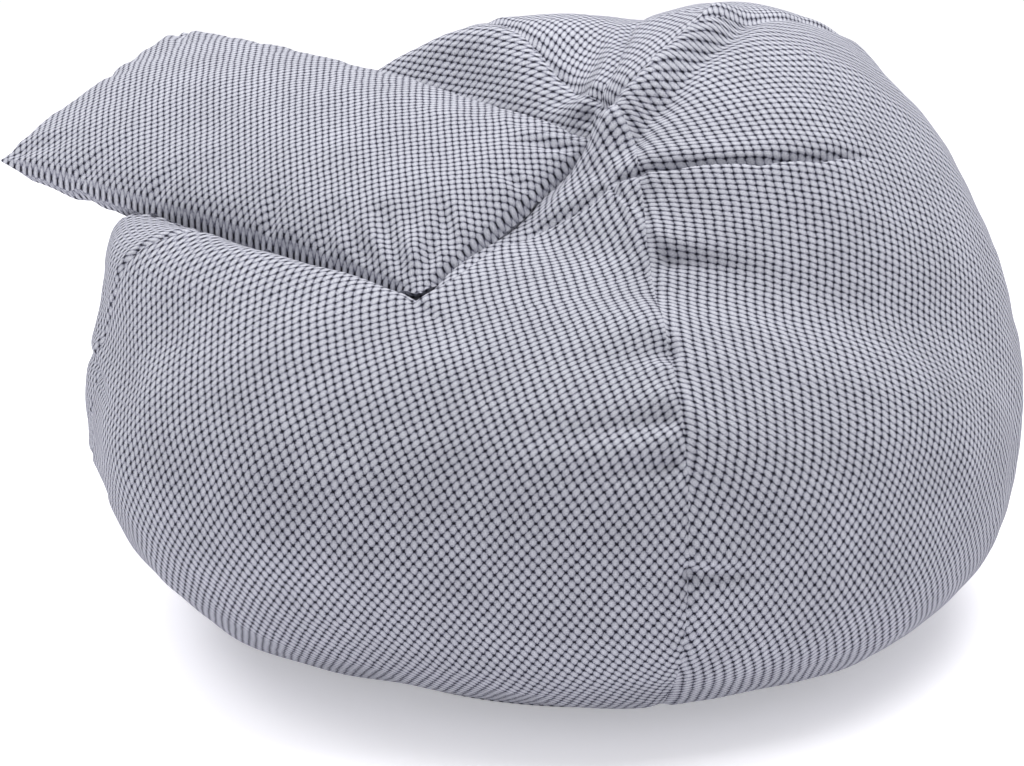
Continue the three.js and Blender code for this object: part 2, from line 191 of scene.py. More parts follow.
def finer(values, rows, columns):
    """Smoothly resamples a grid to a finer one (Catmull-Rom along each axis)."""
    for axis, count in ((0, rows), (1, columns)):
        old = values.shape[axis]
        t = np.linspace(0, old - 1, count)
        k = np.minimum(t.astype(int), old - 2)
        f = t - k
        f = f.reshape([-1 if a == axis else 1 for a in range(values.ndim)])
        at = [np.take(values, np.clip(k + o, 0, old - 1), axis) for o in (-1, 0, 1, 2)]
        a, b, c, d = at
        values = b + 0.5 * f * (c - a + f * (2 * a - 5 * b + 4 * c - d + f * (3 * (b - c) + d - a)))
    return values


SEAMS = [-38.6, 80.0, 157.0, 230.0]
POLE_OPENING = math.radians(0.05)
BASE_POLAR = math.radians(119.4)
BASE_RADIUS = 300.0


def wobble(p, size, seed, octaves=2):
    """Soft seeded lumps of about the given size, from -1 to 1."""
    rng = np.random.default_rng(seed)
    total = np.zeros(p.shape[:-1])
    weight = 0.0
    for octave in range(octaves):
        scale = size / 2**octave
        share = 0.55**octave
        for _ in range(5):
            way = rng.normal(size=3)
            way /= np.linalg.norm(way)
            turns = p @ way * (2 * math.pi / scale) * rng.uniform(0.7, 1.3)
            total += share * np.sin(turns + rng.uniform(0, 6.28))
        weight += share * 2.2
    return total / weight


def path_distance(p, path):
    """Distance to a bent line, how far along it (0 to 1), and the offset from the nearest point."""
    path = np.array(path, float)
    lengths = np.linalg.norm(np.diff(path, axis=0), axis=1)
    total = lengths.sum()
    best = np.full(p.shape[:-1], 1e9)
    along = np.zeros(p.shape[:-1])
    offset = np.zeros(p.shape)
    tangent = np.zeros(p.shape)
    start = 0.0
    for a, b, length in zip(path[:-1], path[1:], lengths):
        ab = b - a
        t = np.clip(((p - a) @ ab) / (ab @ ab), 0, 1)
        near = a + t[..., None] * ab
        d = np.linalg.norm(p - near, axis=-1)
        closer = d < best
        best = np.where(closer, d, best)
        along = np.where(closer, (start + t * length) / total, along)
        offset = np.where(closer[..., None], p - near, offset)
        tangent = np.where(closer[..., None], ab / length, tangent)
        start += length
    return best, along, offset, tangent


def smooth_step(x, low, high):
    """Rises smoothly from 0 at low to 1 at high."""
    t = np.clip((x - low) / (high - low), 0, 1)
    return t * t * (3 - 2 * t)


def surface_normals(points):
    """Unit normals of a grid of points, facing out of the bag."""
    across = np.gradient(points, axis=0)
    down = np.gradient(points, axis=1)
    n = np.cross(down, across)
    n /= np.maximum(np.linalg.norm(n, axis=-1, keepdims=True), 1e-9)
    return n


def grid_mesh(name, points, weave):
    """A mesh from a grid of points in millimetres, with the cloth's own flat coordinates as UVs."""
    columns, rows = points.shape[:2]
    mesh = bpy.data.meshes.new(name)
    index = np.arange(columns * rows).reshape(columns, rows)
    quads = np.stack([index[:-1, :-1], index[:-1, 1:], index[1:, 1:], index[1:, :-1]], -1).reshape(-1, 4)
    mesh.vertices.add(columns * rows)
    mesh.vertices.foreach_set("co", (points.reshape(-1, 3) * MM).astype(np.float32).ravel())
    mesh.loops.add(quads.size)
    mesh.loops.foreach_set("vertex_index", quads.ravel().astype(np.int32))
    mesh.polygons.add(len(quads))
    mesh.polygons.foreach_set("loop_start", np.arange(0, quads.size, 4, dtype=np.int32))
    mesh.polygons.foreach_set("use_smooth", np.ones(len(quads), bool))
    mesh.update(calc_edges=True)
    layer = mesh.uv_layers.new(name="weave")
    flat = weave.reshape(-1, 2)[quads.ravel()]
    layer.data.foreach_set("uv", flat.astype(np.float32).ravel())
    mesh.validate()
    piece = bpy.data.objects.new(name, mesh)
    scene.collection.objects.link(piece)
    return piece


def surface_pull(p, inset, floor):
    """How far p lies outside the layer, and the way straight out of it."""
    step = 0.5

    def depth(q):
        return -join(-(bag_distance(q) + inset), q[..., 2] - floor, FLOOR_ROUNDING)

    here = depth(p)
    slope = np.stack([depth(p + step * axis) - here for axis in np.eye(3)], -1) / step
    steepness = np.linalg.norm(slope, axis=-1, keepdims=True)
    return here, slope / np.maximum(steepness, 1e-6), steepness[..., 0]


SPREAD_SHARE = 0.6
MOST_PULL = 12


def settle(points, inset, floor, rounds):
    """Evens out a grid of points over the layer, as cloth slides over what it holds."""
    fixed = points[:, -1].copy()
    top = points[:, 0].copy()
    for _ in range(rounds):
        spread = points.copy()
        around = (points[:-2, 1:-1] + points[2:, 1:-1] + points[1:-1, :-2] + points[1:-1, 2:]) / 4
        spread[1:-1, 1:-1] += SPREAD_SHARE * (around - points[1:-1, 1:-1])
        for edge in (0, -1):
            beside = (points[edge, :-2] + points[edge, 2:]) / 2
            spread[edge, 1:-1] += SPREAD_SHARE * (beside - points[edge, 1:-1])
        pull, way, steepness = surface_pull(spread, inset, floor)
        pull = np.clip(pull / np.maximum(steepness, 0.4), -MOST_PULL, MOST_PULL)
        points = spread - way * pull[..., None]
        points[:, -1] = fixed
        points[:, 0] = top
    return points


ROW_CROWDING = 1.12


def panel_grid(first, last, columns, rows, inset=0.0, floor=0.0, radius=BASE_RADIUS, rounds=50):
    """Points of one side panel between two seam bearings, from the meeting point to the base."""
    coarse_columns = columns // 3
    coarse_rows = rows // 3
    bearings = np.radians(np.linspace(first, last, coarse_columns))
    polars = POLE_OPENING + (BASE_POLAR - POLE_OPENING) * np.linspace(0, 1, coarse_rows) ** ROW_CROWDING
    b, a = np.meshgrid(bearings, polars, indexing="ij")
    directions = heading(b, a)
    points = CORE + directions * layer_reach(directions, inset, floor)[..., None]
    hem = [radius * np.cos(bearings), radius * np.sin(bearings), np.full(len(bearings), floor)]
    points[:, -1] = np.stack(hem, -1)
    points = settle(points, inset, floor, rounds)
    points[..., 2] = np.maximum(points[..., 2], floor)
    points = finer(points, columns, rows)
    points[..., 2] = np.maximum(points[..., 2], floor)
    return points


def flat_coordinates(points, turn):
    """The cloth's flat coordinates in metres, measured from the panel's middle column."""
    columns, rows = points.shape[:2]
    middle = columns // 2
    step = np.linalg.norm(np.diff(points, axis=0), axis=-1)
    x = np.zeros((columns, rows))
    x[1:] = np.cumsum(step, axis=0)
    x -= x[middle : middle + 1]
    down = np.linalg.norm(np.diff(points, axis=1), axis=-1)
    y = np.zeros((columns, rows))
    y[:, 1:] = np.cumsum(down, axis=1)
    y = np.broadcast_to(y[middle - 8 : middle + 8].mean(axis=0), (columns, rows))
    c = math.cos(math.radians(turn))
    s = math.sin(math.radians(turn))
    return np.stack([x * c - y * s, x * s + y * c], -1) * MM


# Lines of the creases: along the seat's lip, round its front corner, and on both sides of the fold.
LIP_CREASE = [
    (96, -77, 480),
    (119, -59, 493),
    (149, -43, 500),
    (216, 7, 505),
    (253, 60, 505),
    (280, 139, 498),
]
LIP_CORNER = [
    (33, -304, 404),
    (41, -257, 413),
    (32, -187, 420),
    (44, -124, 433),
    (85, -97, 462),
    (96, -77, 480),
]
FOLD_LEFT = [(-11, 20, 505), (1, 23, 531), (3, 45, 558), (-19, 101, 578), (-81, 213, 586)]
FOLD_RIGHT = [
    (58, 238, 597),
    (75, 188, 608),
    (90, 132, 598),
    (91, 66, 576),
    (94, 26, 556),
    (90, -17, 529),
    (88, -50, 504),
    (92, -74, 484),
]
RIDGE_HEIGHT = 22.0
RIDGE_FACE = 32.0
RIDGE_FALL = 34
VALLEY_DEPTH = 5.0
VALLEY_WIDTH = 12
# Tucks beside the front seam: a place on it, and the side that the tuck runs out to.
SEAM_PUCKERS = [
    (178, -104, 429, -1),
    (263, -187, 379, 1),
    (327, -266, 294, 1),
    (342, -279, 195, -1),
    (318, -253, 330, 1),
]


def crease(points, normals, path, high, low, width, fade=0.25, swell=42.0):
    """One side of the path stands proud and rounds over; the other dives under it."""
    d, along, offset, tangent = path_distance(points, path)
    side = -np.sign(np.sum(offset * np.cross(normals, tangent), -1))
    s = d * side
    strength = smooth_step(along, -0.001, 0.04) * (1 - smooth_step(along, 1 - fade, 1.0))
    proud = high * np.exp(-np.abs(s) / swell) * smooth_step(s, -width, width)
    dive = -low * np.exp(-((s + 1.5 * width) / (2.2 * width)) ** 2)
    ridge = 0.35 * low * np.exp(-((s + 26) / 13) ** 2)
    return strength * (proud + dive + ridge)


def cover_folds(points, normals):
    """How far each point of the cover moves out along its normal: lumps and creases."""
    move = 3.0 * wobble(points, 230, 5) + 1.3 * wobble(points, 90, 9)
    move += crease(points, normals, LIP_CREASE, 9.0, 8.0, 3.0)
    move += crease(points, normals, LIP_CORNER, 7.0, 5.0, 4.0, 0.02)
    move += crease(points, normals, FOLD_LEFT, 6.0, 8.0, 6.0, 0.15, 30.0)
    away, along, offset, tangent = path_distance(points, FOLD_RIGHT)
    ridge_side = -away * np.sign(np.sum(offset * np.cross(normals, tangent), -1))
    past_face = np.maximum(0, ridge_side - RIDGE_FACE)
    ridge = smooth_step(ridge_side, 0, RIDGE_FACE) * np.exp(-past_face / RIDGE_FALL)
    valley = np.exp(-((ridge_side / VALLEY_WIDTH) ** 2))
    strength = smooth_step(along, 0, 0.25) * (1 - smooth_step(along, 0.8, 1))
    move += strength * (RIDGE_HEIGHT * ridge - VALLEY_DEPTH * valley)
    return move


LEFT_TUCKS = (400.0, 285.0, 170.0)
SEAM_DIP = 3.6
SEAM_WIDTH = 7.0
GATHER_HEIGHT = 1.7
GATHER_REACH = 24.0


def seam_folds(points, from_seam):
    """The edges of a panel dip into its seam, and the stitches gather the cloth into small puckers."""
    groove = -SEAM_DIP * np.exp(-((from_seam / SEAM_WIDTH) ** 2))
    gather = wobble(points * np.array([0.25, 0.25, 1.0]), 42, 31, 1) + 0.6 * wobble(points, 30, 37, 1)
    reach = np.exp(-from_seam / GATHER_REACH) * smooth_step(from_seam, 0, 9)
    return groove + GATHER_HEIGHT * gather * reach


PUCKER_LENGTH = 50.0
PUCKER_SPREAD = 46.0
PUCKER_SLOPE = 0.10
PUCKER_DEPTH = 11.0
PUCKER_SWELL = 6.0


def pucker(points, at, side, seam_bearing):
    """One short tuck that runs out from the front seam and fades."""
    centre = np.array(at, float)
    turn = math.radians(seam_bearing)
    out = np.array([-math.sin(turn), math.cos(turn), 0.0]) * side
    d = points - centre
    away = d @ out
    rise = d[..., 2] + PUCKER_SLOPE * away
    length = smooth_step(away, -6, 10) * np.exp(-np.maximum(away, 0) / PUCKER_LENGTH) * (away > -14)
    near = np.exp(-np.sum((d - (d @ out)[..., None] * out) ** 2, -1) / (2 * PUCKER_SPREAD**2))
    groove = -PUCKER_DEPTH * np.exp(-((rise / 8.0) ** 2))
    swell = PUCKER_SWELL * np.exp(-(((rise - 18) / 11) ** 2))
    return near * length * (groove + swell)


# Each gore: the bearings of its two seams, and how far its weave is turned, in degrees.
PANELS = {
    "cover_panel_right": (SEAMS[0], SEAMS[1], 0.0),
    "cover_panel_back": (SEAMS[1], SEAMS[2], 0.0),
    "cover_panel_left": (SEAMS[2], SEAMS[3], 12.0),
    "cover_panel_front": (SEAMS[3], SEAMS[0] + 360, 0.0),
}
COLUMNS = 283
ROWS = 340


def value_node(tree, kind, operation, *inputs):
    """One Math node whose inputs are sockets or numbers."""
    node = tree.nodes.new(kind)
    node.operation = operation
    for k, value in enumerate(inputs):
        if isinstance(value, bpy.types.NodeSocket):
            tree.links.new(value, node.inputs[k])
        else:
            node.inputs[k].default_value = value
    return node.outputs[0]


def waffle_cloth(name):
    """Thick cloth woven in staggered round tufts, with painted shade in its colour: darker down each tuft's
    sides and near black in the gaps between tufts.
    """
    pitch = 0.0101
    row = 0.0064
    tuft_wide = 0.0039
    tuft_tall = 0.0054
    m = bpy.data.materials.new(name)
    m.use_nodes = True
    t = m.node_tree
    shader = t.nodes["Principled BSDF"]
    uv = t.nodes.new("ShaderNodeUVMap")
    uv.uv_map = "weave"
    stray = t.nodes.new("ShaderNodeTexNoise")
    stray.inputs["Scale"].default_value = 60
    stray.inputs["Detail"].default_value = 1
    t.links.new(uv.outputs[0], stray.inputs["Vector"])
    shift = t.nodes.new("ShaderNodeVectorMath")
    shift.operation = "MULTIPLY_ADD"
    t.links.new(stray.outputs["Color"], shift.inputs[0])
    shift.inputs[1].default_value = (0.0028, 0.0028, 0)
    t.links.new(uv.outputs[0], shift.inputs[2])
    parts = t.nodes.new("ShaderNodeSeparateXYZ")
    t.links.new(shift.outputs[0], parts.inputs[0])
    u = value_node(t, "ShaderNodeMath", "DIVIDE", parts.outputs[0], pitch)
    v = value_node(t, "ShaderNodeMath", "DIVIDE", parts.outputs[1], row)
    squares = []
    for half_u, half_v in ((0.0, 0.0), (0.5, 1.0)):
        du = value_node(t, "ShaderNodeMath", "ADD", u, half_u)
        du = value_node(t, "ShaderNodeMath", "WRAP", du, 0.5, -0.5)
        dv = value_node(t, "ShaderNodeMath", "ADD", v, half_v)
        dv = value_node(t, "ShaderNodeMath", "WRAP", dv, 1.0, -1.0)
        du = value_node(t, "ShaderNodeMath", "MULTIPLY", du, pitch / tuft_wide)
        dv = value_node(t, "ShaderNodeMath", "MULTIPLY", dv, row / tuft_tall)
        du = value_node(t, "ShaderNodeMath", "MULTIPLY", du, du)
        dv = value_node(t, "ShaderNodeMath", "MULTIPLY", dv, dv)
        squares.append(value_node(t, "ShaderNodeMath", "ADD", du, dv))
    nearest = value_node(t, "ShaderNodeMath", "MINIMUM", squares[0], squares[1])
    ball = value_node(t, "ShaderNodeMath", "SUBTRACT", 1.12, nearest)
    ball = value_node(t, "ShaderNodeMath", "MAXIMUM", ball, 0.0)
    ball = value_node(t, "ShaderNodeMath", "SQRT", ball)
    fuzz = t.nodes.new("ShaderNodeTexNoise")
    fuzz.inputs["Scale"].default_value = 760
    fuzz.inputs["Detail"].default_value = 3
    fuzz.inputs["Roughness"].default_value = 0.7
    t.links.new(uv.outputs[0], fuzz.inputs["Vector"])
    patch = t.nodes.new("ShaderNodeTexNoise")
    patch.inputs["Scale"].default_value = 14
    patch.inputs["Detail"].default_value = 3
    t.links.new(uv.outputs[0], patch.inputs["Vector"])
    grain = value_node(t, "ShaderNodeMath", "MULTIPLY_ADD", fuzz.outputs["Fac"], 1.1, -0.55)
    shade = value_node(t, "ShaderNodeMath", "MULTIPLY_ADD", ball, 0.8, grain)
    # Painted shade: the colour darkens with tuft height, from the pale top down the sides to near black in
    # the gaps, where shadow would fall.
    ramp = t.nodes.new("ShaderNodeValToRGB")
    t.links.new(shade, ramp.inputs[0])
    ramp.color_ramp.elements[0].position = 0.20
    ramp.color_ramp.elements[0].color = (0.004, 0.004, 0.009, 1)
    ramp.color_ramp.elements[1].position = 1.0
    ramp.color_ramp.elements[1].color = (0.60, 0.605, 0.66, 1)
    middle = ramp.color_ramp.elements.new(0.42)
    middle.color = (0.075, 0.075, 0.115, 1)
    upper = ramp.color_ramp.elements.new(0.58)
    upper.color = (0.30, 0.305, 0.36, 1)
    tint = t.nodes.new("ShaderNodeMix")
    tint.data_type = "RGBA"
    tint.blend_type = "MULTIPLY"
    tint.inputs["Factor"].default_value = 1.0
    t.links.new(ramp.outputs[0], tint.inputs[6])
    wear = t.nodes.new("ShaderNodeMapRange")
    wear.inputs["From Min"].default_value = 0.3
    wear.inputs["From Max"].default_value = 0.7
    wear.inputs["To Min"].default_value = 0.93
    wear.inputs["To Max"].default_value = 1.05
    t.links.new(patch.outputs["Fac"], wear.inputs["Value"])
    t.links.new(wear.outputs[0], tint.inputs[7])
    t.links.new(tint.outputs[2], shader.inputs["Base Color"])
    rough = value_node(t, "ShaderNodeMath", "MULTIPLY_ADD", ball, -0.12, 0.98)
    t.links.new(rough, shader.inputs["Roughness"])
    height = value_node(t, "ShaderNodeMath", "MULTIPLY_ADD", fuzz.outputs["Fac"], 0.4, ball)
    bump = t.nodes.new("ShaderNodeBump")
    bump.inputs["Strength"].default_value = 0.9
    bump.inputs["Distance"].default_value = 0.0019
    t.links.new(height, bump.inputs["Height"])
    t.links.new(bump.outputs[0], shader.inputs["Normal"])
    shader.inputs["Sheen Weight"].default_value = 0.12
    shader.inputs["Sheen Roughness"].default_value = 0.5
    shader.inputs["Sheen Tint"].default_value = (0.9, 0.9, 1.0, 1)
    shader.inputs["Specular IOR Level"].default_value = 0.15
    return m


cover_cloth = waffle_cloth("cover_waffle_cloth")

for name, (first, last, weave_turn) in PANELS.items():
    points = panel_grid(first, last, COLUMNS, ROWS)
    weave = flat_coordinates(points, weave_turn)
    straight = flat_coordinates(points, 0) / MM
    from_left = straight[..., 0] - straight[:1, :, 0]
    from_right = straight[-1:, :, 0] - straight[..., 0]
    _, normals, _ = surface_pull(points, 0.0, 0.0)
    move = cover_folds(points, normals)
    move += seam_folds(points, from_left) + seam_folds(points, from_right)
    for x, y, z, side in SEAM_PUCKERS:
        move += pucker(points, (x, y, z), -side, SEAMS[0])
    if name in ("cover_panel_left", "cover_panel_front"):
        seam = points[-1 if name == "cover_panel_left" else 0]
        too_high = 1000 * (np.arange(ROWS) < ROWS // 3)
        for height in LEFT_TUCKS:
            at = seam[np.argmin(np.abs(seam[:, 2] - height) + too_high)]
            for side in (-1, 1):
                move += pucker(points, at, side, SEAMS[3])
    over_base = smooth_step(points[..., 2], 0, 30)
    points = points + normals * (move * over_base)[..., None]
    points[..., 2] = np.maximum(points[..., 2], 0.0)
    panel = grid_mesh(name + "_cloth", points, weave)
    panel.data.materials.append(cover_cloth)
    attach(panel, "bag")
    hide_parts(name)
    along = np.linalg.norm(np.diff(points, axis=0), axis=-1).sum(axis=0)

# ---------------------------------------------------------------------------------------------
# Liner: a plain white bag of tight-woven cloth in two side pieces and a floor, which holds the beads
# inside the cover. It hangs a little slack, because it is cut smaller than the cover.
def plain_cloth(name, colour, thread):
    """Smooth tight-woven cloth with a fine square thread and a slightly uneven colour."""
    m = bpy.data.materials.new(name)
    m.use_nodes = True
    t = m.node_tree
    shader = t.nodes["Principled BSDF"]
    place = t.nodes.new("ShaderNodeTexCoord")
    waves = []
    for way in ("X", "Y"):
        wave = t.nodes.new("ShaderNodeTexWave")
        wave.bands_direction = way
        wave.inputs["Scale"].default_value = 1 / thread
        t.links.new(place.outputs["Object"], wave.inputs["Vector"])
        waves.append(wave.outputs["Fac"])
    weave = value_node(t, "ShaderNodeMath", "ADD", waves[0], waves[1])
    slub = t.nodes.new("ShaderNodeTexNoise")
    slub.inputs["Scale"].default_value = 25
    slub.inputs["Detail"].default_value = 4
    t.links.new(place.outputs["Object"], slub.inputs["Vector"])
    ramp = t.nodes.new("ShaderNodeValToRGB")
    ramp.color_ramp.elements[0].position = 0.3
    ramp.color_ramp.elements[0].color = tuple(c * 0.9 for c in colour) + (1,)
    ramp.color_ramp.elements[1].position = 0.7
    ramp.color_ramp.elements[1].color = tuple(colour) + (1,)
    t.links.new(slub.outputs["Fac"], ramp.inputs[0])
    t.links.new(ramp.outputs[0], shader.inputs["Base Color"])
    bump = t.nodes.new("ShaderNodeBump")
    bump.inputs["Strength"].default_value = 0.3
    bump.inputs["Distance"].default_value = 0.0004
    t.links.new(weave, bump.inputs["Height"])
    t.links.new(bump.outputs[0], shader.inputs["Normal"])
    shader.inputs["Roughness"].default_value = 0.85
    return m


liner_cloth = plain_cloth("liner_cloth", (0.80, 0.79, 0.76), 0.0016)
LINER_INSET = 16.0
LINER_FLOOR = 9.4
LINER_RADIUS = 286.0
LINER_COLUMNS = 151
LINER_ROWS = 121
EVENING_ROUNDS = 10
for name, first, last, seed in (
    ("liner_side_rear", SEAMS[1], SEAMS[3], 21),
    ("liner_side_front", SEAMS[3], SEAMS[1] + 360, 23),
):
    layer = (LINER_INSET, LINER_FLOOR + 1, LINER_RADIUS)
    points = panel_grid(first, last, LINER_COLUMNS, LINER_ROWS, *layer, EVENING_ROUNDS)
    weave = flat_coordinates(points, 0)
    normals = surface_normals(points)
    points = points + normals * (1.6 * wobble(points, 60, seed) - 1.0)[..., None]
    points[..., 2] = np.maximum(points[..., 2], LINER_FLOOR)
    liner = grid_mesh(name + "_cloth", points, weave)
    liner.data.materials.append(liner_cloth)
    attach(liner, "bag")
    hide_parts(name)
    along = np.linalg.norm(np.diff(points, axis=0), axis=-1).sum(axis=0)

# ---------------------------------------------------------------------------------------------
# Beads: the loose expanded polystyrene that fills the liner, shown as one settled mass with the
# small round beads standing out over its surface.
BEAD_INSET = 20.0
BEAD_FLOOR = 12.4
BEAD_RADIUS = 278.0
BEAD_COLUMNS = 241
BEAD_ROWS = 121


def bead_material():
    """White polystyrene beads, each a small bump, with painted shade greying the gaps round it."""
    bead = 0.0042
    m = bpy.data.materials.new("polystyrene_beads")
    m.use_nodes = True
    t = m.node_tree
    shader = t.nodes["Principled BSDF"]
    place = t.nodes.new("ShaderNodeTexCoord")
    cells = t.nodes.new("ShaderNodeTexVoronoi")
    cells.inputs["Scale"].default_value = 1 / bead
    cells.inputs["Randomness"].default_value = 0.8
    t.links.new(place.outputs["Object"], cells.inputs["Vector"])
    # Painted shade: white at each bead's middle, grey towards the gaps between beads, where shadow would
    # fall.
    ramp = t.nodes.new("ShaderNodeValToRGB")
    ramp.color_ramp.elements[0].position = 0.25
    ramp.color_ramp.elements[0].color = (0.90, 0.90, 0.89, 1)
    ramp.color_ramp.elements[1].position = 0.62
    ramp.color_ramp.elements[1].color = (0.42, 0.42, 0.43, 1)
    t.links.new(cells.outputs["Distance"], ramp.inputs[0])
    t.links.new(ramp.outputs[0], shader.inputs["Base Color"])
    hill = value_node(t, "ShaderNodeMath", "SUBTRACT", 1.0, cells.outputs["Distance"])
    bump = t.nodes.new("ShaderNodeBump")
    bump.inputs["Strength"].default_value = 0.9
    bump.inputs["Distance"].default_value = 0.002
    t.links.new(hill, bump.inputs["Height"])
    t.links.new(bump.outputs[0], shader.inputs["Normal"])
    shader.inputs["Roughness"].default_value = 0.7
    return m


layer = (BEAD_INSET, BEAD_FLOOR, BEAD_RADIUS)
points = panel_grid(SEAMS[0], SEAMS[0] + 360, BEAD_COLUMNS, BEAD_ROWS, *layer, EVENING_ROUNDS)
normals = surface_normals(points)
points = points + normals * (1.2 * wobble(points, 24, 41))[..., None]
points[..., 2] = np.maximum(points[..., 2], BEAD_FLOOR)
points[-1] = points[0]
beads = grid_mesh("bead_fill_mass", points, points[..., :2] * MM)
closed = bmesh.new()
closed.from_mesh(beads.data)
bmesh.ops.remove_doubles(closed, verts=closed.verts, dist=0.0002)
bmesh.ops.holes_fill(closed, edges=closed.edges, sides=0)
bmesh.ops.recalc_face_normals(closed, faces=closed.faces)
closed.to_mesh(beads.data)
closed.free()
beads.data.materials.append(bead_material())
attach(beads, "bag")
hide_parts("bead_fill")

# ---------------------------------------------------------------------------------------------
# Pillow cover: two rectangles of the same waffle cloth, sewn round three sides, closed with a zip
# along the fourth, turned out and blown up by its fibre fill, which draws the free edges inwards.
PILLOW_COLUMNS = 120
PILLOW_ROWS = 62
PILLOW_CUT = (652.0, 352.0)
PILLOW_PINCH = 0.012
PILLOW_HANG = 15.0
PILLOW_FULLNESS = 0.40
PILLOW_FRAMES = 22
EDGE_TAPER = 20


def sewn_rectangles(length, width, columns, rows):
    """Two layers of flat cloth that share their outer edge, as a mesh and its grid numbers."""
    x = np.linspace(-length / 2, length / 2, columns + 1)
    y = np.linspace(-width / 2, width / 2, rows + 1)
    gx, gy = np.meshgrid(x, y, indexing="ij")
    inside = np.zeros(gx.shape, bool)
    inside[1:-1, 1:-1] = True
    start = 2.0 * np.minimum(1, np.minimum(length / 2 - np.abs(gx), width / 2 - np.abs(gy)) / EDGE_TAPER)
    top = np.stack([gx, gy, start], -1).reshape(-1, 3)
    under = np.stack([gx, gy, -start], -1)[inside]
    top_number = np.arange(gx.size).reshape(gx.shape)
    under_number = top_number.copy()
    under_number[inside] = gx.size + np.arange(inside.sum())
    return np.concatenate([top, under]), top_number, under_number


def quads_of(number, flip):
    """The four-sided faces of a grid of vertex numbers."""
    q = np.stack([number[:-1, :-1], number[1:, :-1], number[1:, 1:], number[:-1, 1:]], -1).reshape(-1, 4)
    return q[:, ::-1] if flip else q


def stuffed(points):
    """The cut rectangles pushed out to the filled pillow's rough form, with its free sides drawn in."""
    u = points[:, 0] / (PILLOW_CUT[0] / 2)
    v = points[:, 1] / (PILLOW_CUT[1] / 2)
    crown = (np.maximum(0, 1 - u**2) * np.maximum(0, 1 - v**2)) ** PILLOW_FULLNESS
    free_side = PILLOW_PINCH * (1 - u**2) * np.clip((0.4 - v) / 1.4, 0, 1)
    x = u * PILLOW_LENGTH / 2 * (1 - PILLOW_PINCH * 0.6 * (1 - v**2))
    y = v * PILLOW_WIDTH / 2 + 2 * free_side * PILLOW_WIDTH / 2
    hang = np.sqrt(np.maximum(0, 1 - u**2)) * np.maximum(0, -v) ** 2
    hang += np.sqrt(np.maximum(0, 1 - v**2)) * np.maximum(0, u) ** 3
    z = np.sign(points[:, 2]) * 0.93 * PILLOW_CROWN * crown - PILLOW_HANG * np.minimum(hang, 1)
    return np.stack([x, y, z], -1)


def plumped(points, filled, top_number, under_number, frames):
    """Lets the cut cloth settle over its fill, held at the seam, so that its spare length wrinkles."""
    mesh = bpy.data.meshes.new("pillow_blank")
    quads = np.concatenate([quads_of(top_number, False), quads_of(under_number, True)])
    mesh.from_pydata((points * MM).tolist(), [], quads.tolist())
    mesh.update()
    blank = bpy.data.objects.new("pillow_blank", mesh)
    scene.collection.objects.link(blank)
    cut = blank.shape_key_add(name="cut")
    full = blank.shape_key_add(name="filled")
    full.data.foreach_set("co", (filled * MM).astype(np.float32).ravel())
    full.value = 1.0
    seam = set(top_number.ravel().tolist()) & set(under_number.ravel().tolist())
    blank.vertex_groups.new(name="seam").add(sorted(seam), 1.0, "REPLACE")
    cloth = blank.modifiers.new("cloth", "CLOTH")
    settings = cloth.settings
    settings.rest_shape_key = cut
    settings.quality = 6
    settings.mass = 0.3
    settings.tension_stiffness = 40
    settings.compression_stiffness = 60
    settings.shear_stiffness = 10
    settings.bending_stiffness = 0.15
    settings.tension_damping = 25
    settings.compression_damping = 25
    settings.air_damping = 8
    settings.use_pressure = True
    settings.uniform_pressure_force = 1.6
    settings.vertex_group_mass = "seam"
    settings.effector_weights.gravity = 0
    cloth.collision_settings.use_collision = False
    cloth.point_cache.frame_start = 1
    cloth.point_cache.frame_end = frames
    for frame_number in range(1, frames + 1):
        scene.frame_set(frame_number)
    settled = blank.evaluated_get(bpy.context.evaluated_depsgraph_get())
    found = np.zeros(len(points) * 3, np.float32)
    settled.data.vertices.foreach_get("co", found)
    scene.frame_set(1)
    bpy.data.objects.remove(blank)
    bpy.data.meshes.remove(mesh)
    return found.reshape(-1, 3).astype(float) / MM


flat_points, top_number, under_number = sewn_rectangles(*PILLOW_CUT, PILLOW_COLUMNS, PILLOW_ROWS)
points = stuffed(flat_points)
points = plumped(flat_points, points, top_number, under_number, PILLOW_FRAMES)
points[:, 2] = points[:, 2] / np.abs(points[:, 2]).max() * (PILLOW_CROWN - 0.5)
# Tucks in the pillow's face: where each starts at the edge, where it ends, its depth and its width.
PILLOW_TUCKS = [
    ((294, 142), (226, 116), 8.0, 8),
    ((292, 122), (246, 84), 7.0, 8),
    ((280, 146), (206, 130), 5.0, 7),
    ((296, -138), (258, -52), 9.0, 10),
    ((282, -146), (206, -86), 8.5, 10),
    ((298, -84), (246, -40), 6.0, 8),
    ((254, -148), (166, -104), 5.0, 9),
    ((298, 40), (256, 34), 4.0, 7),
    ((-294, -140), (-220, -106), 6.0, 10),
    ((-292, 140), (-240, 92), 6.0, 10),
    ((-296, 20), (-254, 14), 4.0, 9),
    ((96, -147), (80, -92), 5.0, 10),
    ((-70, -147), (-56, -88), 5.0, 11),
    ((176, -147), (152, -100), 4.5, 9),
    ((-180, -147), (-150, -96), 4.0, 11),
]
face = np.sign(points[:, 2]) * smooth_step(np.abs(points[:, 2]), 0.5, 9)
flat_place = np.stack([points[:, 0], points[:, 1], np.zeros(len(points))], -1)
edge = np.minimum(PILLOW_LENGTH / 2 - np.abs(points[:, 0]), PILLOW_WIDTH / 2 - np.abs(points[:, 1]))
press = 1.6 * wobble(flat_place, 46, 71) * np.exp(-np.maximum(edge, 0) / 45)
press += 1.6 * wobble(flat_place, 120, 73)
for start, end, depth, width in PILLOW_TUCKS:
    away, along, _, _ = path_distance(flat_place, [(*start, 0), (*end, 0)])
    fade_in = 1 - 0.75 * along
    swell = 0.55 * np.exp(-(((away - 1.7 * width) / width) ** 2))
    press += depth * fade_in * (swell - np.exp(-((away / width) ** 2)))
